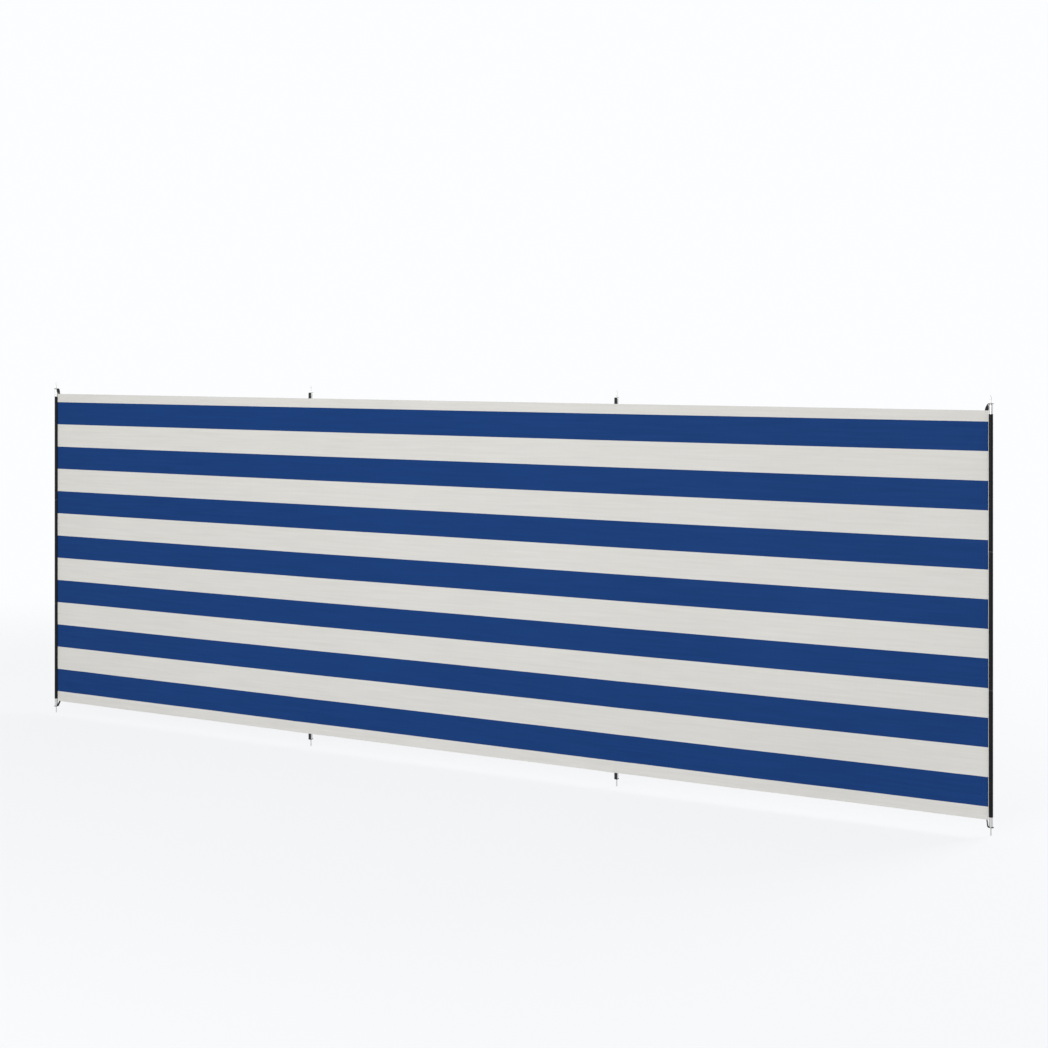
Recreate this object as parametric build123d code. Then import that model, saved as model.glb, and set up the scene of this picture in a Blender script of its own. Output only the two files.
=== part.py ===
from build123d import *
from math import cos, pi, radians, sin
import os

# A beach windbreak in three bays: four push-fit steel poles with spiked ends, and one
# striped cloth that hangs on them by webbing tabs with eyelets. Sizes are in millimetres.
# The poles stand along X with the first pole's axis on Z, and the cloth is on the -Y side.
# Z is 0 at the lower end of the tubes, where they meet the ground.

# Cloth
bay_count = 3
bay_length = 1500.0
cloth_height = 1500.0
cloth_thickness = 1.0
cloth_drop = 11.0
hem_thickness = 2.0
hem_height = 35.0
end_gap = 1.0

# Poles: two end tubes and a middle one, the lower two swaged to plug into the next
tube_diameter = 16.0
tube_wall = 0.8
tube_shortfall = 24.0
end_tube_length = 504.0
swage_length = 39.0
swage_taper = 3.0
joint_clearance = 0.1

# Spiked fittings, the same at both ends of a pole
plug_length = 30.0
ferrule_length = 36.0
ferrule_nose = 2.5
nose_step = 0.8
pin_diameter = 5.0
pin_length = 30.0
tip_length = 2.5
tip_step = 1.3

# Webbing tabs, folded double
webbing_width = 13.0
webbing_ply = 1.0
tab_root = 30.0
tab_overhang = 9.0
tab_bend = 2.0
tab_gap = 0.3
land_margin = 3.5

# The tabs beside the end poles lean to their pins, and turn a quarter round between two
# shares of the way: the top ones above the cloth, the bottom ones before they leave its back
corner_lean = 12.0
corner_bend = 6.0
flat_margin = 0.5
top_turn = (0.2, 1.0)
bottom_turn = (0.0, 0.32)
bottom_lead = 14.0
twist_steps = 12

# Eyelets, clenched over both faces of the tabs
eyelet_sides = 20
eyelet_clearance = 0.95
eyelet_wall = 0.5
eyelet_flange = 0.7
eyelet_rim = 1.25
barrel_gap = 0.1

# What follows from them
wall_length = bay_count * bay_length
pole_height = cloth_height - tube_shortfall
middle_tube_length = pole_height - 2 * (end_tube_length - swage_length)
tube_radius = tube_diameter / 2
swage_radius = tube_radius - tube_wall - joint_clearance
tab_thickness = 2 * webbing_ply
eyelet_bore = pin_diameter / 2 + eyelet_clearance
barrel_radius = eyelet_bore + eyelet_wall
rim_radius = barrel_radius + eyelet_rim
eyelet_height = tab_thickness + 2 * eyelet_flange
tab_level = ferrule_length + eyelet_height / 2
stand_off = max(tube_radius + tab_gap + tab_thickness / 2, rim_radius + tab_gap + tab_bend)
cloth_y = -(stand_off + tab_thickness / 2 + hem_thickness / 2)
cloth_top = cloth_height - cloth_drop
edge_x = tube_radius + end_gap
land = webbing_width + 2 * land_margin


def turned(points):
    """A solid turned about Z from a half outline of (radius, height) points."""
    outline = make_face(Polyline(*[(r, 0, z) for r, z in points], close=True))
    return revolve(outline, Axis.Z)


def plain_bar(radius, length):
    return turned([(0, 0), (radius, 0), (radius, length), (0, length)])


def swaged_bar(radius, end_radius, length):
    """A round bar from z = 0 whose last stretch is drawn down to a smaller radius."""
    shoulder = length - swage_length
    outline = [
        (0, 0),
        (radius, 0),
        (radius, shoulder - swage_taper),
        (end_radius, shoulder),
        (end_radius, length),
        (0, length),
    ]
    return turned(outline)


def plain_tube(length):
    return plain_bar(tube_radius, length) - plain_bar(tube_radius - tube_wall, length)


def swaged_tube(length):
    outside = swaged_bar(tube_radius, swage_radius, length)
    return outside - swaged_bar(tube_radius - tube_wall, swage_radius - tube_wall, length)


def spike():
    """The turned fitting on a pole's end: plug, ferrule with an eyelet seat, and pin."""
    nose_radius = swage_radius - nose_step
    pin_radius = pin_diameter / 2
    pin_end = ferrule_length + pin_length
    outline = [
        (0, -plug_length),
        (swage_radius, -plug_length),
        (swage_radius, ferrule_length - ferrule_nose),
        (nose_radius, ferrule_length),
        (pin_radius, ferrule_length),
        (pin_radius, pin_end),
        (pin_radius - tip_step, pin_end + tip_length),
        (0, pin_end + tip_length),
    ]
    return turned(outline)


def disc(radius, height):
    return extrude(RegularPolygon(radius, eyelet_sides), height / 2, both=True)


def eyelet():
    """A ring clenched over the webbing on both sides, with its middle plane at z = 0."""
    flanges = disc(rim_radius, eyelet_height) - disc(rim_radius, tab_thickness)
    return flanges + disc(barrel_radius, eyelet_height) - disc(eyelet_bore, eyelet_height)


def flat_end(start, rise):
    """Webbing lying flat round the pin on Z, from x = start to its folded end, with a hole."""
    length = start + tab_overhang
    flat = Pos(start - length / 2, 0, rise) * Box(length, webbing_width, tab_thickness)
    fold = Pos(-tab_overhang, 0, rise) * Rot(90, 0, 0) * Cylinder(webbing_ply, webbing_width)
    hole = Pos(0, 0, rise) * Cylinder(barrel_radius + barrel_gap, 2 * tab_thickness)
    return flat + fold - hole


def inner_tab(rise):
    """A tab straight in front of its pin. Z is 0 at the cloth's edge and the pin is on Z."""
    top = rise - tab_bend
    middle = 0.5**0.5 * tab_bend
    climb = Line((stand_off, 0, -tab_root), (stand_off, 0, top))
    bend = ThreePointArc(
        (stand_off, 0, top),
        (stand_off - tab_bend + middle, 0, top + middle),
        (stand_off - tab_bend, 0, rise),
    )
    section = Plane((stand_off, 0, -tab_root)) * Rectangle(tab_thickness, webbing_width)
    strap = sweep(section, climb + bend)
    return Rot(0, 0, -90) * (strap + flat_end(stand_off - tab_bend, rise))


def share_within(value, start, end):
    return min(max((value - start) / (end - start), 0), 1)


def corner_tab(rise, lead, turn_range):
    """A tab beside its pin: it leans to the pin, turns a quarter round and bends over it. Its
    root is sewn behind the cloth, and it leaves the cloth's back by a lead before the edge."""
    root_y = hem_thickness / 2 + tab_thickness / 2
    lean = radians(corner_lean)
    climb = (rise + lead - corner_bend * (1 - sin(lean))) / cos(lean)
    path_length = climb + corner_bend * (pi / 2 - lean)
    start_x = rim_radius + flat_margin + corner_bend * cos(lean) + climb * sin(lean)
    across = (cos(lean), 0, sin(lean))
    low = Plane((start_x, root_y, -lead), x_dir=across, z_dir=(-sin(lean), 0, cos(lean)))
    root = low * Pos(0, 0, -tab_root / 2) * Box(webbing_width, tab_thickness, tab_root)
    sections = []
    for step in range(twist_steps + 1):
        share = step / twist_steps
        straight = min(share * path_length, climb)
        heading = lean + (share * path_length - straight) / corner_bend
        x = start_x - straight * sin(lean) - corner_bend * (cos(lean) - cos(heading))
        z = straight * cos(lean) + corner_bend * (sin(heading) - sin(lean)) - lead
        turned_share = share_within(share, *turn_range)
        turn = turned_share * pi / 2
        if lead:
            swing = webbing_width / 2 * sin(turn)
            y = (root_y + swing) * (1 - share_within(share, turn_range[1], climb / path_length))
        else:
            y = root_y * (1 - turned_share)
        across = (cos(turn) * cos(heading), sin(turn), cos(turn) * sin(heading))
        place = Plane((x, y, z), x_dir=across, z_dir=(-sin(heading), 0, cos(heading)))
        section = place * Rectangle(webbing_width, tab_thickness)
        sections.append([corner.center() for corner in section.vertices()])
    twist = [ConvexPolyhedron(low + high) for low, high in zip(sections, sections[1:])]
    return root + twist + flat_end(x, rise)


def cloth_band(thickness, low, high):
    """The cloth's path seen from above, given a thickness: in line with the end poles and
    in front of the inner ones, with a flat stretch at each tab."""
    path = [
        (edge_x, 0),
        (edge_x + land, 0),
        (bay_length - land / 2, cloth_y),
        (wall_length - bay_length + land / 2, cloth_y),
        (wall_length - edge_x - land, 0),
        (wall_length - edge_x, 0),
    ]
    front = [(x, y - thickness / 2) for x, y in path]
    back = [(x, y + thickness / 2) for x, y in reversed(path)]
    outline = make_face(Polyline(*front, *back, close=True))
    return Pos(0, 0, low) * extrude(outline, high - low)


def cloth():
    """One cloth with a folded hem all round."""
    low = -cloth_drop
    sheet = cloth_band(cloth_thickness, low, cloth_top)
    hems = cloth_band(hem_thickness, low, low + hem_height)
    hems += cloth_band(hem_thickness, cloth_top - hem_height, cloth_top)
    tall = cloth_band(hem_thickness, low, cloth_top)
    for middle in (edge_x + land / 2, wall_length - edge_x - land / 2):
        cut = Pos(middle, 0, low + cloth_height / 2) * Box(land, 4 * hem_thickness, cloth_height)
        hems += tall & cut
    return sheet + hems


def write(shape, node):
    shape.label = node
    export_step(shape, f"parts/{node}.step")


os.makedirs("parts", exist_ok=True)
write(cloth(), "striped_sheet")

middle_seat = end_tube_length - swage_length
upper_seat = pole_height - end_tube_length
top_rise = pole_height + tab_level - cloth_top
bottom_rise = tab_level - cloth_drop
upside_down = Rot(180, 0, 0)

for number in range(1, bay_count + 2):
    pole = Pos((number - 1) * bay_length, 0, 0)
    write(pole * swaged_tube(end_tube_length), f"pole_{number}_lower_tube")
    write(pole * Pos(0, 0, middle_seat) * swaged_tube(middle_tube_length), f"pole_{number}_middle_tube")
    write(pole * Pos(0, 0, upper_seat) * plain_tube(end_tube_length), f"pole_{number}_upper_tube")
    write(pole * upside_down * spike(), f"pole_{number}_ground_spike")
    write(pole * Pos(0, 0, pole_height) * spike(), f"pole_{number}_top_spike")
    write(pole * Pos(0, 0, pole_height + tab_level) * eyelet(), f"top_eyelet_{number}")
    write(pole * Pos(0, 0, -tab_level) * eyelet(), f"bottom_eyelet_{number}")
    is_end = number in (1, bay_count + 1)
    tab_ends = (
        ("top_tab", top_rise, cloth_top, 0, top_turn),
        ("bottom_tab", bottom_rise, -cloth_drop, bottom_lead, bottom_turn),
    )
    for name, rise, edge, lead, turn_range in tab_ends:
        tab = corner_tab(rise, lead, turn_range) if is_end else inner_tab(rise)
        if number == bay_count + 1:
            tab = mirror(tab, Plane.YZ)
        if name == "bottom_tab":
            tab = mirror(tab, Plane.XY)
        write(pole * Pos(0, 0, edge) * tab, f"{name}_{number}")
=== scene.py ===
import bmesh
import bpy
from math import atan2, cos, exp, hypot, pi, radians, sin, sqrt
from mathutils import Matrix, Vector, noise


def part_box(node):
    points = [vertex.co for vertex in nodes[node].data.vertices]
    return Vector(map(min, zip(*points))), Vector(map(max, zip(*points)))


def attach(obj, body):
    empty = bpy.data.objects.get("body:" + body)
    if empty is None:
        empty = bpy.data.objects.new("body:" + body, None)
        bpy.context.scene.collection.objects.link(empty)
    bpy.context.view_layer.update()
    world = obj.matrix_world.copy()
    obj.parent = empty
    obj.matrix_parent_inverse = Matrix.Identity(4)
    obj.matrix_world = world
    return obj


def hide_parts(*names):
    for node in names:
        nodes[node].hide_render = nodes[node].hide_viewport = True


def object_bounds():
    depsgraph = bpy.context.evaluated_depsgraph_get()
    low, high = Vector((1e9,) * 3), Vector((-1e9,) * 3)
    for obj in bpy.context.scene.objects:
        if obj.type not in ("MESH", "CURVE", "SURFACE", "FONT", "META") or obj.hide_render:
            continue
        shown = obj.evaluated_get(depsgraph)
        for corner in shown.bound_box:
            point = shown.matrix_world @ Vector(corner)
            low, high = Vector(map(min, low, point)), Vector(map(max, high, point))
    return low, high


# A striped beach windbreak: one cloth on four black push-fit poles with spiked ends.
# Lengths are in metres. X runs along the windbreak, Z is up and the cloth faces -Y.

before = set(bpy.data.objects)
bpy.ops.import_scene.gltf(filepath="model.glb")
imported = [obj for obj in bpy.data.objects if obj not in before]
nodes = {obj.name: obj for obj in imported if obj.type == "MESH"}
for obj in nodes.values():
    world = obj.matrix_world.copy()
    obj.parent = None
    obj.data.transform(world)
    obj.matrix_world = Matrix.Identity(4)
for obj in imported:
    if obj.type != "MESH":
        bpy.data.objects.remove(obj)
solid_bounds = [list(corner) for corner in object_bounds()]
mm = 0.001

# Cloth: the pale bands along its edges are a little wider than the folded hem
stripe_count = 13
top_band = 40.5 * mm
bottom_band = 48 * mm
edge_wander = 0.3 * mm
hem_height = 35 * mm
end_hem = 20 * mm
end_land = 20 * mm
front_offset = 0.6 * mm
back_offset = 0.4 * mm
hem_offset = 1.0 * mm
yarn_width = 0.5 * mm
pucker_reach = 24 * mm

# The cloth's mesh: finer at its rounded rim, at the hem's step and around the tabs
fold_radius = 0.8 * mm
rim_steps = (0, 0.1 * mm, 0.35 * mm)
hem_step = 0.6 * mm
fine_pitch = 8.5 * mm
coarse_pitch = 14 * mm
fine_reach = 170 * mm

# How the hung cloth stands off flat: a belly in each bay, folds that fan out from the tabs,
# gathers along the hems, slow sways with ripples on them, and the creases left by folding
bellies = (-4 * mm, 5 * mm, -3 * mm)
fan_depth = 1.3 * mm
fan_radius = 75 * mm
fan_folds = 8.5
fan_shift = 1.3
gather_depth = 1.5 * mm
gather_reach = 120 * mm
gather_waves = 9
sway_depth = 2.6 * mm
sway_waves = (1.6, 1.9)
ripple_depth = 0.65 * mm
ripple_waves = (6, 5)
crease_width = 16 * mm
row_creases = (1 / 3, 2 / 3)
row_crease_depth = 0.7 * mm
column_creases = 16
column_crease_depth = 0.28 * mm

# Where in the noise each unevenness is taken from
top_gathers = 3.7
bottom_gathers = 8.1
gather_slice = 0.5
sway_slice = 4.2
ripple_slice = 9.4

# How the tabs and the poles hold the cloth still
still_radius = 45 * mm
pole_hold = 0.6
pole_reach = 60 * mm

# Sewing. A stitch has three rings, each with its share of the length, and its radius and
# lift in thread radii
stitch_pitch = 3.6 * mm
stitch_length = 3.0 * mm
thread_radius = 0.35 * mm
thread_sides = 5
stitch_rings = ((0, 0.35, -0.6), (0.5, 1, 0.3), (1, 0.35, -0.6))
twist_pitch = 0.3 * mm
seam_inset = 3 * mm
seam_end = 2 * mm
box_inset = 2 * mm
box_low = 3 * mm
box_high = 4 * mm

# Webbing tabs, one strap folded double. Those beside the end poles lean to their pins and
# turn a quarter round: above the cloth at the top, and behind it at the bottom
strap_width = 13 * mm
ply = 1.0 * mm
ply_gap = 0.06 * mm
tab_root = 30 * mm
root_steps = 8
root_pitch = 4 * mm
inner_bend = 2 * mm
corner_lean = radians(12)
corner_bend = 6 * mm
flat_margin = 0.5 * mm
top_turn = (0.2, 1.0)
bottom_turn = (0.0, 0.32)
bottom_lead = 14 * mm
cord_width = 1.25 * mm
pick_width = 0.9 * mm

# Eyelets
eyelet_bore = 3.45 * mm
eyelet_barrel = 3.95 * mm
eyelet_rim = 5.2 * mm
eyelet_flange = 0.7 * mm
eyelet_undercut = 0.15 * mm
eyelet_bite = 0.02 * mm
eyelet_turns = 56
hole_clearance = 0.1 * mm
hole_sides = 48

# Poles: the paint is worn through near each joint, where the scratches are strong
wear_reach = 7 * mm
wear_range = (0.46, 0.54)
lathe_pitch = 0.35 * mm

# Edges of webbing and eyelets that turn by more than this stay sharp
sharp_angle = radians(50)

# Colours, linear
blue_tones = ((0.0060, 0.0376, 0.1570, 1), (0.0081, 0.0470, 0.1900, 1))
pale_tones = ((0.6350, 0.6240, 0.5900, 1), (0.7060, 0.6950, 0.6610, 1))
webbing_tones = ((0.006, 0.006, 0.007, 1), (0.022, 0.022, 0.024, 1))
pale_thread_tones = ((0.52, 0.51, 0.48, 1), (0.70, 0.69, 0.66, 1))
black_thread_tones = ((0.007, 0.007, 0.008, 1), (0.025, 0.025, 0.027, 1))
paint_tones = ((0.004, 0.004, 0.0045, 1), (0.009, 0.009, 0.0095, 1))
bare_tube_colour = (0.09, 0.09, 0.093, 1)
steel_tones = ((0.46, 0.46, 0.45, 1), (0.66, 0.66, 0.65, 1))
nickel_tones = ((0.58, 0.56, 0.52, 1), (0.76, 0.75, 0.71, 1))
floor_colour = (0.86, 0.87, 0.88, 1)
backdrop_colour = (0.975, 0.985, 1.0, 1)
sky_colour = (1, 1, 1, 1)

# How far the noise and its mixtures mostly range
noise_range = (0.3, 0.7)
wide_range = (0.2, 0.8)

# Floor, which fades out around the object, and light. Lamps have a place, a size and a power
floor_radius = 7
floor_sides = 96
floor_glow = 0.8
fade_range = (3.2, 6.0)
sky_strength = 0.56
lamp_target = (2.2, 0, 0.7)
key_lamp = ((2.2, -8.0, 2.3), (4, 2.5), 314)
back_lamp = ((6.5, 4.5, 4.0), (3, 2), 175)

# Camera, at the photograph's viewing angle
camera_place = (5.8192, -6.2676, 1.7336)
camera_turn = radians(27.368)
lens = 57.9
sensor = 36.0
raise_view = -0.172

# What follows from the solids
cloth_low, cloth_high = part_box("striped_sheet")
cloth_length = cloth_high.x - cloth_low.x
cloth_height = cloth_high.z - cloth_low.z
stripe_height = (cloth_height - top_band - bottom_band) / stripe_count
pole_numbers = (1, 2, 3, 4)
inner_poles = pole_numbers[1:-1]
last_pole = pole_numbers[-1]
tube_boxes = {number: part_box(f"pole_{number}_lower_tube") for number in pole_numbers}
pole_x = {number: (low.x + high.x) / 2 for number, (low, high) in tube_boxes.items()}
inner_y = cloth_low.y + hem_offset
joint_heights = (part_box("pole_1_middle_tube")[0].z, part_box("pole_1_upper_tube")[0].z)


# Mesh helpers


def add_piece(name, mesh, material):
    """A new piece of the object, on the one body that the windbreak has."""
    mesh.materials.append(material)
    mesh.shade_smooth()
    piece = bpy.data.objects.new(name, mesh)
    bpy.context.scene.collection.objects.link(piece)
    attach(piece, "root")
    return piece


def mesh_of(name, points, faces):
    mesh = bpy.data.meshes.new(name)
    mesh.from_pydata(points, [], faces)
    mesh.update()
    return mesh


def ring_faces(start, rings, sides):
    """Faces between rings of points laid one after the other."""
    faces = []
    for ring in range(rings - 1):
        for side in range(sides):
            beside = (side + 1) % sides
            low = start + ring * sides
            high = low + sides
            faces.append((low + side, low + beside, high + beside, high + side))
    return faces


def tube_faces(start, rings, sides):
    """The faces between a tube's rings, and over its two ends."""
    last = start + (rings - 1) * sides
    near_end = list(reversed(range(start, start + sides)))
    far_end = list(range(last, last + sides))
    return ring_faces(start, rings, sides) + [near_end, far_end]


# Node helpers


def new_material(name, values):
    """A material with its shader's plain values set, and the tree and shader to add to."""
    material = bpy.data.materials.new(name)
    material.use_nodes = True
    tree = material.node_tree
    shader = tree.nodes["Principled BSDF"]
    for key, value in values.items():
        shader.inputs[key].default_value = value
    return material, tree, shader


def add_node(tree, kind, settings, inputs):
    node = tree.nodes.new(kind)
    for key, value in settings.items():
        setattr(node, key, value)
    for key, value in inputs.items():
        if isinstance(value, bpy.types.NodeSocket):
            tree.links.new(value, node.inputs[key])
        else:
            node.inputs[key].default_value = value
    return node


def maths(tree, operation, *values):
    settings = {"operation": operation}
    return add_node(tree, "ShaderNodeMath", settings, dict(enumerate(values))).outputs[0]


def place_on(tree, kind):
    return tree.nodes.new("ShaderNodeTexCoord").outputs[kind]


def parts_of(tree, place):
    """A place's parts, to be taken by the names X, Y and Z."""
    return add_node(tree, "ShaderNodeSeparateXYZ", {}, {0: place}).outputs


def stretched(tree, place, factors):
    settings = {"operation": "MULTIPLY"}
    return add_node(tree, "ShaderNodeVectorMath", settings, {0: place, 1: factors}).outputs[0]


def cloud(tree, place, scale, detail):
    """Soft noise from 0 to 1 with features of about 1 / scale metres."""
    inputs = {"Vector": place, "Scale": scale, "Detail": detail}
    return add_node(tree, "ShaderNodeTexNoise", {}, inputs).outputs[0]


def waves(tree, value, width):
    """A sine from -1 to 1 that crosses 0 once in every width."""
    return maths(tree, "SINE", maths(tree, "MULTIPLY", value, pi / width))


def spread(tree, value, old_range, new_range):
    """The value's range laid over a new one, and held inside it."""
    settings = {"interpolation_type": "SMOOTHSTEP"}
    inputs = dict(enumerate((value, *old_range, *new_range)))
    return add_node(tree, "ShaderNodeMapRange", settings, inputs).outputs[0]


def blended(tree, share, first, second):
    """A colour between two others."""
    inputs = {0: share, 6: first, 7: second}
    return add_node(tree, "ShaderNodeMix", {"data_type": "RGBA"}, inputs).outputs[2]


def surface(tree, shader, colour, roughness, layers):
    """Colour, roughness, and bumps laid over each other from (height, depth) pairs."""
    tree.links.new(colour, shader.inputs["Base Color"])
    tree.links.new(roughness, shader.inputs["Roughness"])
    normal = None
    for height, depth in layers:
        inputs = {"Height": height, "Distance": depth}
        if normal:
            inputs["Normal"] = normal
        normal = add_node(tree, "ShaderNodeBump", {}, inputs).outputs[0]
    tree.links.new(normal, shader.inputs["Normal"])


# Materials


def striped_colour(tree, place, z, tone):
    """Blue and pale stripes, each between its two tones, with edges that wander a little."""
    wander = cloud(tree, place, scale=160, detail=2)
    height = maths(tree, "SUBTRACT", z, cloth_low.z + bottom_band + edge_wander / 2)
    height = maths(tree, "MULTIPLY_ADD", wander, edge_wander, height)
    count = maths(tree, "DIVIDE", height, 2 * stripe_height)
    is_blue = maths(tree, "LESS_THAN", maths(tree, "FRACT", count), 0.5)
    blue = blended(tree, tone, *blue_tones)
    pale = blended(tree, tone, *pale_tones)
    return blended(tree, is_blue, pale, blue)


def hem_puckers(tree, place, z):
    """Small gathers of the cloth on both sides of the seams along its hems."""
    from_low = maths(tree, "SUBTRACT", z, cloth_low.z)
    from_high = maths(tree, "SUBTRACT", cloth_high.z, z)
    from_edge = maths(tree, "MINIMUM", from_low, from_high)
    from_seam = maths(tree, "SUBTRACT", from_edge, hem_height - seam_inset)
    nearness = spread(tree, maths(tree, "ABSOLUTE", from_seam), (0, pucker_reach), (1, 0))
    gathers = cloud(tree, stretched(tree, place, (90, 1, 14)), scale=1, detail=2)
    return maths(tree, "MULTIPLY", nearness, gathers)


def cloth_material():
    """Plain-woven polyester with dyed stripes, a soft sheen and slightly uneven yarns."""
    values = {"Sheen Weight": 0.04, "Sheen Roughness": 0.45, "Specular IOR Level": 0.06}
    material, tree, shader = new_material("striped_cloth", values)
    place = place_on(tree, "Object")
    parts = parts_of(tree, place)
    weft = cloud(tree, stretched(tree, place, (1400, 6, 6)), scale=1, detail=3)
    warp = cloud(tree, stretched(tree, place, (6, 6, 1400)), scale=1, detail=3)
    slubs = cloud(tree, stretched(tree, place, (4, 4, 90)), scale=1, detail=2)
    patches = cloud(tree, place, scale=1.7, detail=3)
    yarn_share = 0.2
    slub_share = 0.4
    patch_share = 0.2
    yarns = maths(tree, "MULTIPLY", maths(tree, "ADD", weft, warp), yarn_share)
    streaks = maths(tree, "MULTIPLY_ADD", slubs, slub_share, yarns)
    tone = maths(tree, "MULTIPLY_ADD", patches, patch_share, streaks)
    tone = spread(tree, tone, noise_range, (0, 1))
    across = waves(tree, parts["X"], yarn_width)
    upright = waves(tree, parts["Z"], yarn_width)
    weave = maths(tree, "MULTIPLY", across, upright)
    crumple = cloud(tree, place, scale=14, detail=3)
    fine_crumple = cloud(tree, stretched(tree, place, (1, 1, 1.6)), scale=55, detail=2)
    puckers = hem_puckers(tree, place, parts["Z"])
    layers = [(crumple, 1.6 * mm), (fine_crumple, 0.25 * mm)]
    layers += [(puckers, 1.0 * mm), (weave, 0.05 * mm)]
    colour = striped_colour(tree, place, parts["Z"], tone)
    surface(tree, shader, colour, spread(tree, tone, (0, 1), (0.62, 0.52)), layers)
    return material


def webbing_material():
    """Black woven webbing: cords along the strap, crossed by picks, with a fuzzy surface."""
    values = {"Sheen Weight": 0.25, "Sheen Roughness": 0.4, "Specular IOR Level": 0.3}
    material, tree, shader = new_material("black_webbing", values)
    place = place_on(tree, "UV")
    parts = parts_of(tree, place)
    cords = waves(tree, parts["Y"], cord_width)
    picks = waves(tree, parts["X"], pick_width)
    weave = maths(tree, "MULTIPLY", cords, picks)
    ridges = maths(tree, "ABSOLUTE", cords)
    fuzz = cloud(tree, place, scale=2500, detail=3)
    weave_share = 0.25
    tone = spread(tree, maths(tree, "MULTIPLY_ADD", weave, weave_share, fuzz), wide_range, (0, 1))
    colour = blended(tree, tone, *webbing_tones)
    layers = ((ridges, 0.2 * mm), (weave, 0.15 * mm), (fuzz, 0.05 * mm))
    surface(tree, shader, colour, spread(tree, fuzz, noise_range, (0.6, 0.8)), layers)
    return material


def thread_material(name, tones):
    """Twisted sewing thread."""
    values = {"Sheen Weight": 0.2, "Specular IOR Level": 0.4}
    material, tree, shader = new_material(name, values)
    place = place_on(tree, "Object")
    parts = parts_of(tree, place)
    lean = maths(tree, "ADD", parts["X"], parts["Z"])
    lean = maths(tree, "ADD", lean, maths(tree, "MULTIPLY", parts["Y"], 2))
    twist = waves(tree, lean, twist_pitch)
    fuzz = cloud(tree, place, scale=3000, detail=2)
    twist_share = 0.2
    tone = spread(tree, maths(tree, "MULTIPLY_ADD", twist, twist_share, fuzz), wide_range, (0, 1))
    colour = blended(tree, tone, *tones)
    roughness = spread(tree, fuzz, noise_range, (0.45, 0.65))
    surface(tree, shader, colour, roughness, ((twist, 0.05 * mm),))
    return material


def clear_thread_material():
    """Clear sewing thread, which shows the stripe beneath it."""
    material, tree, shader = new_material("clear_thread", {"Specular IOR Level": 0.4})
    place = place_on(tree, "Object")
    glints = cloud(tree, place, scale=1200, detail=2)
    colour = striped_colour(tree, place, parts_of(tree, place)["Z"], glints)
    roughness = spread(tree, glints, noise_range, (0.25, 0.4))
    surface(tree, shader, colour, roughness, ((glints, 0.04 * mm),))
    return material


def paint_material():
    """Black powder coat with a fine orange peel, rubbed thin where the tubes push together."""
    material, tree, shader = new_material("black_powder_coat", {"Specular IOR Level": 0.12})
    place = place_on(tree, "Object")
    z = parts_of(tree, place)["Z"]
    from_joints = [maths(tree, "SUBTRACT", z, joint) for joint in joint_heights]
    distances = [maths(tree, "ABSOLUTE", from_joint) for from_joint in from_joints]
    nearness = spread(tree, maths(tree, "MINIMUM", *distances), (0, wear_reach), (1, 0))
    scratches = cloud(tree, stretched(tree, place, (1100, 1100, 450)), scale=1, detail=4)
    bare = spread(tree, maths(tree, "MULTIPLY", nearness, scratches), wear_range, (0, 1))
    peel = cloud(tree, place, scale=620, detail=2)
    dust = cloud(tree, place, scale=35, detail=4)
    colour = blended(tree, bare, blended(tree, dust, *paint_tones), bare_tube_colour)
    tree.links.new(bare, shader.inputs["Metallic"])
    layers = ((peel, 0.06 * mm), (scratches, 0.01 * mm))
    surface(tree, shader, colour, spread(tree, dust, noise_range, (0.38, 0.5)), layers)
    return material


def steel_material():
    """Zinc-plated turned steel with the lathe's fine rings and a few scuffs."""
    material, tree, shader = new_material("zinc_steel", {"Metallic": 1.0})
    place = place_on(tree, "Object")
    rings = waves(tree, parts_of(tree, place)["Z"], lathe_pitch / 2)
    bloom = cloud(tree, place, scale=90, detail=4)
    scuffs = cloud(tree, stretched(tree, place, (1200, 1200, 90)), scale=1, detail=3)
    colour = blended(tree, bloom, *steel_tones)
    layers = ((rings, 0.008 * mm), (scuffs, 0.02 * mm))
    surface(tree, shader, colour, spread(tree, scuffs, noise_range, (0.26, 0.44)), layers)
    return material


def nickel_material():
    """Bright rolled nickel with slight hammer dimples from the setting tool."""
    material, tree, shader = new_material("rolled_nickel", {"Metallic": 1.0})
    place = place_on(tree, "Object")
    dimples = cloud(tree, place, scale=500, detail=2)
    tarnish = cloud(tree, place, scale=180, detail=4)
    colour = blended(tree, tarnish, *nickel_tones)
    roughness = spread(tree, tarnish, noise_range, (0.3, 0.18))
    surface(tree, shader, colour, roughness, ((dimples, 0.04 * mm),))
    return material


def seen_directly(tree):
    """1 for rays that show the background: from the camera, off gloss or through glass."""
    path = tree.nodes.new("ShaderNodeLightPath").outputs
    seen = maths(tree, "MAXIMUM", path["Is Camera Ray"], path["Is Glossy Ray"])
    return maths(tree, "MAXIMUM", seen, path["Is Transmission Ray"])


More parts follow.
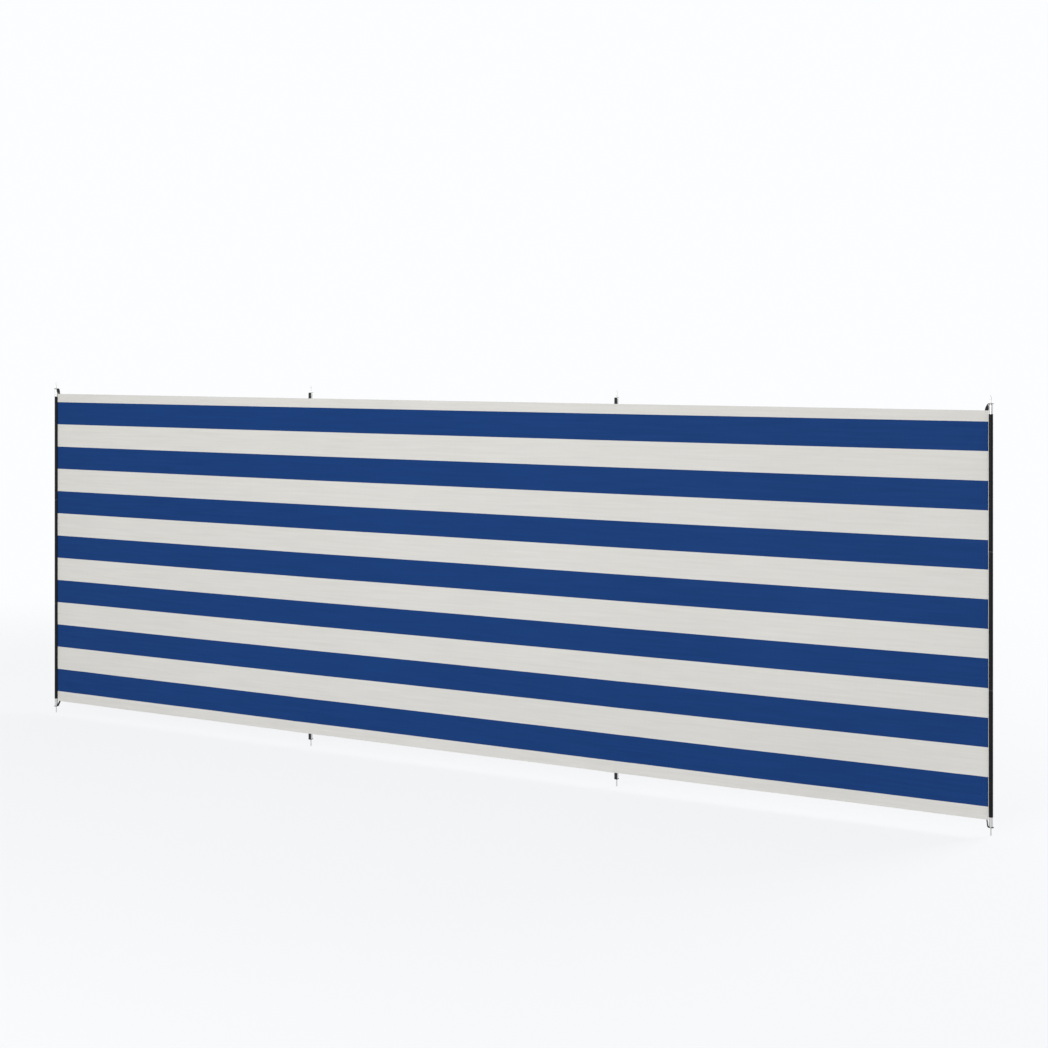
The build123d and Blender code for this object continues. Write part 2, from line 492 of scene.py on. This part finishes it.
def floor_material():
    """A pale floor that keeps the soft shadow and fades into the white around it."""
    values = {"Base Color": floor_colour, "Roughness": 0.9}
    material, tree, shader = new_material("pale_floor", values)
    place = place_on(tree, "Object")
    settings = {"operation": "LENGTH"}
    far = add_node(tree, "ShaderNodeVectorMath", settings, {0: place}).outputs[1]
    white = add_node(tree, "ShaderNodeEmission", {}, {0: backdrop_colour}).outputs[0]
    clear = tree.nodes.new("ShaderNodeBsdfTransparent").outputs[0]
    glow = maths(tree, "MULTIPLY", seen_directly(tree), floor_glow)
    near = add_node(tree, "ShaderNodeMixShader", {}, {0: glow, 1: shader.outputs[0], 2: white})
    fade = spread(tree, far, fade_range, (0, 1))
    whole = add_node(tree, "ShaderNodeMixShader", {}, {0: fade, 1: near.outputs[0], 2: clear})
    tree.links.new(whole.outputs[0], tree.nodes["Material Output"].inputs[0])
    return material


# Cloth


def plan_y(x):
    """The cloth's middle plane: in line with the end poles and in front of the inner ones."""
    inward = min(x - cloth_low.x, cloth_high.x - x) - end_land
    run = pole_x[inner_poles[0]] - end_land / 2 - cloth_low.x - end_land
    return inner_y * min(max(inward / run, 0), 1)


def tab_places():
    """The middle of each tab's root on the cloth, as (x, z)."""
    end_inset = (strap_width + tab_root * sin(corner_lean)) / 2
    places = []
    for z in (cloth_high.z - tab_root / 2, cloth_low.z + tab_root / 2):
        for x in pole_x.values():
            places.append((min(max(x, cloth_low.x + end_inset), cloth_high.x - end_inset), z))
    return places


tab_roots = tab_places()


def fans(x, z):
    """The long folds that fan out from each tab, and how free of the tabs the cloth is."""
    total = 0
    freedom = 1
    for number, (tab_x, tab_z) in enumerate(tab_roots):
        aside = x - tab_x
        away = abs(z - tab_z)
        distance = hypot(aside, away)
        freedom *= 1 - exp(-((distance / still_radius) ** 2))
        reach = distance / fan_radius
        fold = cos(fan_folds * atan2(aside, away) + fan_shift * number)
        total += fan_depth * reach * exp(1 - reach) * fold
    return total, freedom


def creases(x, up):
    """The creases left by folding the cloth away, along it and across it."""
    total = 0
    for number, share in enumerate(row_creases):
        off = abs(up - share) * cloth_height
        total += row_crease_depth * (-1) ** number * exp(-off / crease_width)
    spacing = cloth_length / column_creases
    turn = (x - cloth_low.x) / spacing
    off = abs(turn - round(turn)) * spacing
    return total + column_crease_depth * (-1) ** round(turn) * exp(-off / crease_width)


def unevenness(x, z, waves_in_a_metre, noise_slice):
    """Smooth noise from about -1 to 1."""
    return noise.noise((x * waves_in_a_metre[0], z * waves_in_a_metre[1], noise_slice))


def wave(x, z):
    """How far the hung cloth stands off its plan towards +Y. It is still at each tab."""
    bay = min(int((x - pole_x[1]) / (pole_x[2] - pole_x[1])), len(bellies) - 1)
    along = (x - pole_x[bay + 1]) / (pole_x[bay + 2] - pole_x[bay + 1])
    up = (z - cloth_low.z) / cloth_height
    folds, freedom = fans(x, z)
    total = bellies[bay] * sin(pi * along) ** 2 * sin(pi * up) + folds

    # The hems gather the cloth a little
    from_edge = min(z - cloth_low.z, cloth_high.z - z)
    row = top_gathers if up > 0.5 else bottom_gathers
    gathers = noise.noise((x * gather_waves, row, gather_slice)) * min(from_edge / hem_height, 1)
    total += gather_depth * gathers * exp(-from_edge / gather_reach)

    total += sway_depth * unevenness(x, z, sway_waves, sway_slice)
    total += ripple_depth * unevenness(x, z, ripple_waves, ripple_slice)
    total += creases(x, up)

    # The poles hold the cloth steady
    to_pole = min(abs(x - place) for place in pole_x.values())
    return total * freedom * (1 - pole_hold * exp(-((to_pole / pole_reach) ** 2)))


def cloth_point(x, z, side):
    """A point on the cloth. Side is -1 for its front face and 1 for its back."""
    to_end = min(x - cloth_low.x, cloth_high.x - x)
    to_edge = min(z - cloth_low.z, cloth_high.z - z)
    in_hem = to_end < end_hem or to_edge < hem_height
    back = hem_offset if in_hem else back_offset
    inset = min(max(1 - min(to_end, to_edge) / fold_radius, 0), 1)
    roundness = sqrt(1 - inset**2)
    middle = (back - front_offset) / 2
    half = (back + front_offset) / 2
    return Vector((x, plan_y(x) + wave(x, z) + middle + side * half * roundness, z))


def stations(length, hem, tabs):
    """Places across the cloth, closer together at the rim, the hem's step and the tabs."""
    start = [*rim_steps, fold_radius, hem / 2, hem - hem_step, hem + hem_step]
    inside = []
    place = start[-1]
    end = length - place
    while place < end - coarse_pitch:
        near = min(abs(place - tab) for tab in tabs) < fine_reach
        place += fine_pitch if near else coarse_pitch
        inside.append(place)
    finish = [length - place for place in reversed(start)]
    return start + inside + finish


def make_cloth(material):
    """One sheet with a folded hem all round, closed at its rim."""
    columns = stations(cloth_length, end_hem, [x - cloth_low.x for x, z in tab_roots])
    rows = stations(cloth_height, hem_height, [z - cloth_low.z for x, z in tab_roots])
    points = []
    index = {}

    def vertex(i, j, side):
        on_rim = i in (0, len(columns) - 1) or j in (0, len(rows) - 1)
        key = (i, j, 0 if on_rim else side)
        if key not in index:
            index[key] = len(points)
            points.append(cloth_point(cloth_low.x + columns[i], cloth_low.z + rows[j], side))
        return index[key]

    faces = []
    for i in range(len(columns) - 1):
        for j in range(len(rows) - 1):
            corners = ((i, j), (i + 1, j), (i + 1, j + 1), (i, j + 1))
            faces.append([vertex(a, b, -1) for a, b in corners])
            faces.append([vertex(a, b, 1) for a, b in reversed(corners)])
    return add_piece("cloth", mesh_of("cloth", points, faces), material)


# Sewing


def add_stitch(points, faces, start, end, outward):
    """One stitch from start to end: it rises out of the surface, lies on it and dives."""
    forward = (end - start).normalized()
    beside = outward.cross(forward)
    first = len(points)
    for share, radius, lift in stitch_rings:
        middle = start.lerp(end, share) + outward * lift * thread_radius
        for side in range(thread_sides):
            turn = 2 * pi * side / thread_sides
            spoke = beside * cos(turn) + outward * sin(turn)
            points.append(middle + spoke * radius * thread_radius)
    faces += tube_faces(first, len(stitch_rings), thread_sides)


def stitches_between(start, end, count):
    """The two ends of each stitch of a seam, in the two directions of its plane."""
    (u0, v0), (u1, v1) = start, end
    half = stitch_length / hypot(u1 - u0, v1 - v0) / 2
    pairs = []
    for number in range(count):
        middle = (number + 0.5) / count
        shares = (middle - half, middle + half)
        pairs.append([(u0 + (u1 - u0) * share, v0 + (v1 - v0) * share) for share in shares])
    return pairs


def hem_stitches(name, rows, material):
    """Rows of stitches on both faces of the cloth, each from one (x, z) place to another."""
    points = []
    faces = []
    for start, end in rows:
        length = hypot(end[0] - start[0], end[1] - start[1])
        for pair in stitches_between(start, end, int(length / stitch_pitch)):
            for side in (-1, 1):
                ends = [cloth_point(x, z, side) for x, z in pair]
                add_stitch(points, faces, *ends, Vector((0, side, 0)))
    return add_piece(name, mesh_of(name, points, faces), material)


def make_hem_stitches(pale_thread, clear_thread):
    """The pale edge bands are sewn in pale thread, and the striped ends in clear thread."""
    inset = hem_height - seam_inset
    left = cloth_low.x + seam_end
    right = cloth_high.x - seam_end
    pieces = []
    for name, z in (("top", cloth_high.z - inset), ("bottom", cloth_low.z + inset)):
        row = ((left, z), (right, z))
        pieces.append(hem_stitches(f"{name}_hem_stitches", [row], pale_thread))
    rows = []
    for x in (cloth_low.x + end_hem - seam_inset, cloth_high.x - end_hem + seam_inset):
        rows.append(((x, cloth_low.z + seam_end), (x, cloth_high.z - seam_end)))
    pieces.append(hem_stitches("end_hem_stitches", rows, clear_thread))
    return pieces


# Webbing tabs


def inner_frames(rise, root_y, end_y):
    """A tab in front of its pin: (middle, direction across) along it, at the cloth's edge."""
    top = rise - inner_bend
    steps = []
    for number in range(root_steps):
        steps.append(Vector((0, root_y, number * root_pitch - tab_root)))
    steps += [Vector((0, root_y, z)) for z in (0, top / 2)]
    bend_steps = 8
    for number in range(bend_steps + 1):
        turn = number / bend_steps * pi / 2
        y = root_y + inner_bend * (1 - cos(turn))
        steps.append(Vector((0, y, rise - inner_bend * (1 - sin(turn)))))
    start = root_y + inner_bend
    flat_steps = 8
    for number in range(1, flat_steps + 1):
        steps.append(Vector((0, start + (end_y - start) * number / flat_steps, rise)))
    across = Vector((1, 0, 0))
    return [(step, across) for step in steps]


def share_within(value, start, end):
    return min(max((value - start) / (end - start), 0), 1)


def corner_climb(rise, lead):
    """How far a tab beside its pin climbs before it bends, and where it leaves the cloth."""
    climb = (rise + lead - corner_bend * (1 - sin(corner_lean))) / cos(corner_lean)
    bend_x = eyelet_rim + flat_margin + corner_bend * cos(corner_lean)
    return climb, bend_x + climb * sin(corner_lean)


def corner_frames(rise, lead, turn_range, end_x):
    """A tab beside its pin: it leans to the pin, turns a quarter round and bends over it. It
    leaves the cloth's back by a lead before the edge."""
    climb, root_x = corner_climb(rise, lead)
    root_y = hem_offset + ply
    root_across = Vector((cos(corner_lean), 0, sin(corner_lean)))
    root_forward = Vector((-sin(corner_lean), 0, cos(corner_lean)))
    root_end = Vector((root_x, root_y, -lead))
    frames = []
    for number in range(root_steps):
        middle = root_end + root_forward * (number * root_pitch - tab_root)
        frames.append((middle, root_across))
    path_length = climb + corner_bend * (pi / 2 - corner_lean)
    twist_steps = 32
    for number in range(twist_steps + 1):
        share = number / twist_steps
        straight = min(share * path_length, climb)
        heading = corner_lean + (share * path_length - straight) / corner_bend
        turned = share_within(share, *turn_range)
        turn = turned * pi / 2
        middle = root_end + root_forward * straight
        middle.x -= corner_bend * (cos(corner_lean) - cos(heading))
        middle.z += corner_bend * (sin(heading) - sin(corner_lean))
        if lead:
            swing = strap_width / 2 * sin(turn)
            inward = share_within(share, turn_range[1], climb / path_length)
            middle.y = (root_y + swing) * (1 - inward)
        else:
            middle.y = root_y * (1 - turned)
        across = Vector((cos(turn) * cos(heading), sin(turn), cos(turn) * sin(heading)))
        frames.append((middle, across))
    start = frames[-1][0].x
    flat_across = Vector((0, 1, 0))
    flat_steps = 10
    for number in range(1, flat_steps + 1):
        x = start + (end_x - start) * number / flat_steps
        frames.append((Vector((x, 0, rise)), flat_across))
    return frames


def folded(frames):
    """The path of one ply out along the frames, round the fold and back along them."""
    path = []
    for number, (middle, across) in enumerate(frames):
        ahead = frames[min(number + 1, len(frames) - 1)][0]
        behind = frames[max(number - 1, 0)][0]
        forward = (ahead - behind).normalized()
        path.append((middle, across, across.cross(forward).normalized(), forward))
    half = ply / 2
    out = [(middle + outward * half, across, outward) for middle, across, outward, _ in path]
    back = [(middle - outward * half, across, -outward) for middle, across, outward, _ in path]
    middle, across, outward, forward = path[-1]
    fold = []
    fold_steps = 6
    for step in range(1, fold_steps):
        turn = step / fold_steps * pi
        spoke = outward * cos(turn) + forward * sin(turn)
        fold.append((middle + spoke * half, across, spoke))
    return out + fold + back[::-1]


def strap_mesh(name, path):
    """A strap with rounded selvedges along a path, with its place along and across as UV."""
    half = (ply - ply_gap) / 2
    flat = strap_width / 2 - half
    shares = (-1, -0.6, -0.2, 0.2, 0.6, 1)
    outline = [(share * flat, half) for share in shares]
    outline.append((strap_width / 2, 0))
    outline += [(share * flat, -half) for share in reversed(shares)]
    outline.append((-strap_width / 2, 0))
    sides = len(outline)
    points = []
    along = [0]
    for number, (middle, across, outward) in enumerate(path):
        if number:
            along.append(along[-1] + (middle - path[number - 1][0]).length)
        points += [middle + across * u + outward * v for u, v in outline]
    mesh = mesh_of(name, points, tube_faces(0, len(path), sides))
    uv = mesh.uv_layers.new(name="strap")
    for loop in mesh.loops:
        ring, side = divmod(loop.vertex_index, sides)
        uv.data[loop.index].uv = (along[ring], outline[side][0])
    return mesh


def pierced(mesh, height):
    """The mesh with a round hole for its eyelet, on the Z axis at that height."""
    strap = bpy.data.objects.new("strap", mesh)
    cutter_mesh = bpy.data.meshes.new("cutter")
    shape = bmesh.new()
    radius = eyelet_barrel + hole_clearance
    bmesh.ops.create_cone(
        shape,
        cap_ends=True,
        segments=hole_sides,
        radius1=radius,
        radius2=radius,
        depth=6 * ply,
        matrix=Matrix.Translation((0, 0, height)),
    )
    shape.to_mesh(cutter_mesh)
    shape.free()
    cutter = bpy.data.objects.new("cutter", cutter_mesh)
    for item in (strap, cutter):
        bpy.context.scene.collection.objects.link(item)
    cut = strap.modifiers.new("hole", "BOOLEAN")
    cut.object = cutter
    cut.operation = "DIFFERENCE"
    cut.solver = "EXACT"
    evaluated = strap.evaluated_get(bpy.context.evaluated_depsgraph_get())
    result = bpy.data.meshes.new_from_object(evaluated)
    bpy.data.objects.remove(strap)
    bpy.data.objects.remove(cutter)
    return result


def box_stitches():
    """A sewn box with a cross in it, as (start, end) pairs of (across, up) from the root."""
    side = strap_width / 2 - box_inset
    low = box_low - tab_root
    high = -box_high
    corners = ((-side, low), (side, low), (side, high), (-side, high))
    lines = list(zip(corners, corners[1:] + corners[:1]))
    lines += [(corners[0], corners[2]), (corners[1], corners[3])]
    pairs = []
    for start, end in lines:
        length = hypot(end[0] - start[0], end[1] - start[1])
        pairs += stitches_between(start, end, round(length / stitch_pitch))
    return pairs


def make_tab_stitches(name, places, back_y, black_thread, pale_thread):
    """The stitches that hold a tab: pale on the cloth's front, and black on the webbing."""
    front_points, front_faces, back_points, back_faces = [], [], [], []
    for pair in places:
        front = [cloth_point(x, z, -1) for x, z in pair]
        back = [Vector((x, back_y, z)) for x, z in pair]
        add_stitch(front_points, front_faces, *front, Vector((0, -1, 0)))
        add_stitch(back_points, back_faces, *back, Vector((0, 1, 0)))
    front_mesh = mesh_of(f"{name}_front", front_points, front_faces)
    add_piece(f"{name}_front", front_mesh, pale_thread)
    back_mesh = mesh_of(f"{name}_back", back_points, back_faces)
    add_piece(f"{name}_back", back_mesh, black_thread)


def make_tab(edge, number, materials):
    """A tab and the stitches that hold it, standing where its solid is."""
    webbing, black_thread, pale_thread = materials
    node = f"{edge}_tab_{number}"
    low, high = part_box(node)
    upward = 1 if edge == "top" else -1
    inward = -1 if number == last_pole else 1
    edge_z = cloth_high.z if edge == "top" else cloth_low.z
    rise = (high.z - edge_z if edge == "top" else edge_z - low.z) - ply
    lean = 0
    lead = 0
    root_x = 0
    if number in inner_poles:
        root_y = low.y + ply
        frames = inner_frames(rise, root_y, high.y - ply)
    else:
        lean = corner_lean
        lead, turn_range = (0, top_turn) if edge == "top" else (bottom_lead, bottom_turn)
        root_x = corner_climb(rise, lead)[1]
        root_y = hem_offset + ply
        overhang = high.x - pole_x[number] if number == last_pole else pole_x[number] - low.x
        frames = corner_frames(rise, lead, turn_range, ply - overhang)
    mesh = pierced(strap_mesh(node, folded(frames)), rise)
    mesh.transform(Matrix.Diagonal((inward, 1, upward, 1)))
    if inward * upward < 0:
        mesh.flip_normals()
    mesh.transform(Matrix.Translation((pole_x[number], 0, edge_z)))
    tab = add_piece(f"{edge}_webbing_{number}", mesh, webbing)
    tab.data.set_sharp_from_angle(angle=sharp_angle)
    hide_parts(node)

    def on_cloth(u, v):
        aside = root_x + u * cos(lean) - v * sin(lean)
        up = u * sin(lean) + v * cos(lean) - lead
        return pole_x[number] + inward * aside, edge_z + upward * up

    places = [[on_cloth(u, v) for u, v in pair] for pair in box_stitches()]
    name = f"{edge}_tab_stitches_{number}"
    make_tab_stitches(name, places, root_y + ply, black_thread, pale_thread)
    return tab


# Eyelets


def eyelet_mesh(name):
    """A ring rolled over both faces of the webbing, with its middle plane at z = 0."""
    outline = []
    arc_steps = 10
    middle = (eyelet_bore + eyelet_rim) / 2
    half = (eyelet_rim - eyelet_bore) / 2
    for sign in (1, -1):
        arc = []
        for step in range(arc_steps + 1):
            turn = step / arc_steps * pi
            arc.append((middle - half * cos(turn), sign * (ply + eyelet_flange * sin(turn))))
        arc.append((eyelet_rim - eyelet_undercut, sign * (ply - eyelet_bite)))
        arc.append((eyelet_barrel, sign * (ply - eyelet_bite)))
        outline += arc if sign > 0 else reversed(arc)
    sides = len(outline)
    points = []
    for number in range(eyelet_turns):
        turn = 2 * pi * number / eyelet_turns
        points += [(r * cos(turn), r * sin(turn), z) for r, z in outline]
    faces = ring_faces(0, eyelet_turns, sides)
    last = (eyelet_turns - 1) * sides
    for side in range(sides):
        beside = (side + 1) % sides
        faces.append((last + side, last + beside, beside, side))
    return mesh_of(name, points, faces)


def make_eyelet(edge, number, material):
    node = f"{edge}_eyelet_{number}"
    low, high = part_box(node)
    mesh = eyelet_mesh(node)
    mesh.transform(Matrix.Translation((pole_x[number], 0, (low.z + high.z) / 2)))
    eyelet = add_piece(f"{edge}_rolled_eyelet_{number}", mesh, material)
    eyelet.data.set_sharp_from_angle(angle=sharp_angle)
    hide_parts(node)


# Floor, light and camera


def make_floor():
    shape = bmesh.new()
    bmesh.ops.create_circle(shape, cap_ends=True, segments=floor_sides, radius=floor_radius)
    mesh = bpy.data.meshes.new("floor")
    shape.to_mesh(mesh)
    shape.free()
    mesh.materials.append(floor_material())
    floor = bpy.data.objects.new("floor", mesh)
    ground = solid_bounds[0][2]
    floor.location = ((cloth_low.x + cloth_high.x) / 2, 0, ground)
    bpy.context.scene.collection.objects.link(floor)


def make_world():
    world = bpy.data.worlds.new("studio")
    bpy.context.scene.world = world
    world.use_nodes = True
    tree = world.node_tree
    tree.nodes.clear()
    shown = add_node(tree, "ShaderNodeBackground", {}, {0: backdrop_colour, 1: 1.0}).outputs[0]
    lit = add_node(tree, "ShaderNodeBackground", {}, {0: sky_colour, 1: sky_strength}).outputs[0]
    both = add_node(tree, "ShaderNodeMixShader", {}, {0: seen_directly(tree), 1: lit, 2: shown})
    output = tree.nodes.new("ShaderNodeOutputWorld")
    tree.links.new(both.outputs[0], output.inputs[0])


def add_lamp(name, place, size, power):
    """A large soft lamp that the camera doesn't see."""
    data = bpy.data.lights.new(name, "AREA")
    data.shape = "RECTANGLE"
    data.size, data.size_y = size
    data.energy = power
    lamp = bpy.data.objects.new(name, data)
    lamp.location = place
    heading = Vector(lamp_target) - Vector(place)
    lamp.rotation_euler = heading.to_track_quat("-Z", "Y").to_euler()
    lamp.visible_camera = False
    bpy.context.scene.collection.objects.link(lamp)


def make_camera():
    data = bpy.data.cameras.new("camera")
    data.lens = lens
    data.sensor_width = sensor
    data.shift_y = raise_view
    camera = bpy.data.objects.new("camera", data)
    camera.location = camera_place
    camera.rotation_euler = (pi / 2, 0, camera_turn)
    bpy.context.scene.collection.objects.link(camera)
    bpy.context.scene.camera = camera


# Build the windbreak

pale_thread = thread_material("pale_thread", pale_thread_tones)
black_thread = thread_material("black_thread", black_thread_tones)
clear_thread = clear_thread_material()
cloth = make_cloth(cloth_material())
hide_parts("striped_sheet")
seams = make_hem_stitches(pale_thread, clear_thread)
webbing = webbing_material()
nickel = nickel_material()
for edge in ("top", "bottom"):
    for number in pole_numbers:
        make_tab(edge, number, (webbing, black_thread, pale_thread))
        make_eyelet(edge, number, nickel)

finishes = {"_tube": paint_material(), "_spike": steel_material()}
for name, node in nodes.items():
    for ending, finish in finishes.items():
        if name.endswith(ending):
            node.data.materials.clear()
            node.data.materials.append(finish)

# Set the stage

make_floor()
make_world()
add_lamp("key", *key_lamp)
add_lamp("back", *back_lamp)
make_camera()
bpy.context.scene.view_settings.view_transform = "Standard"
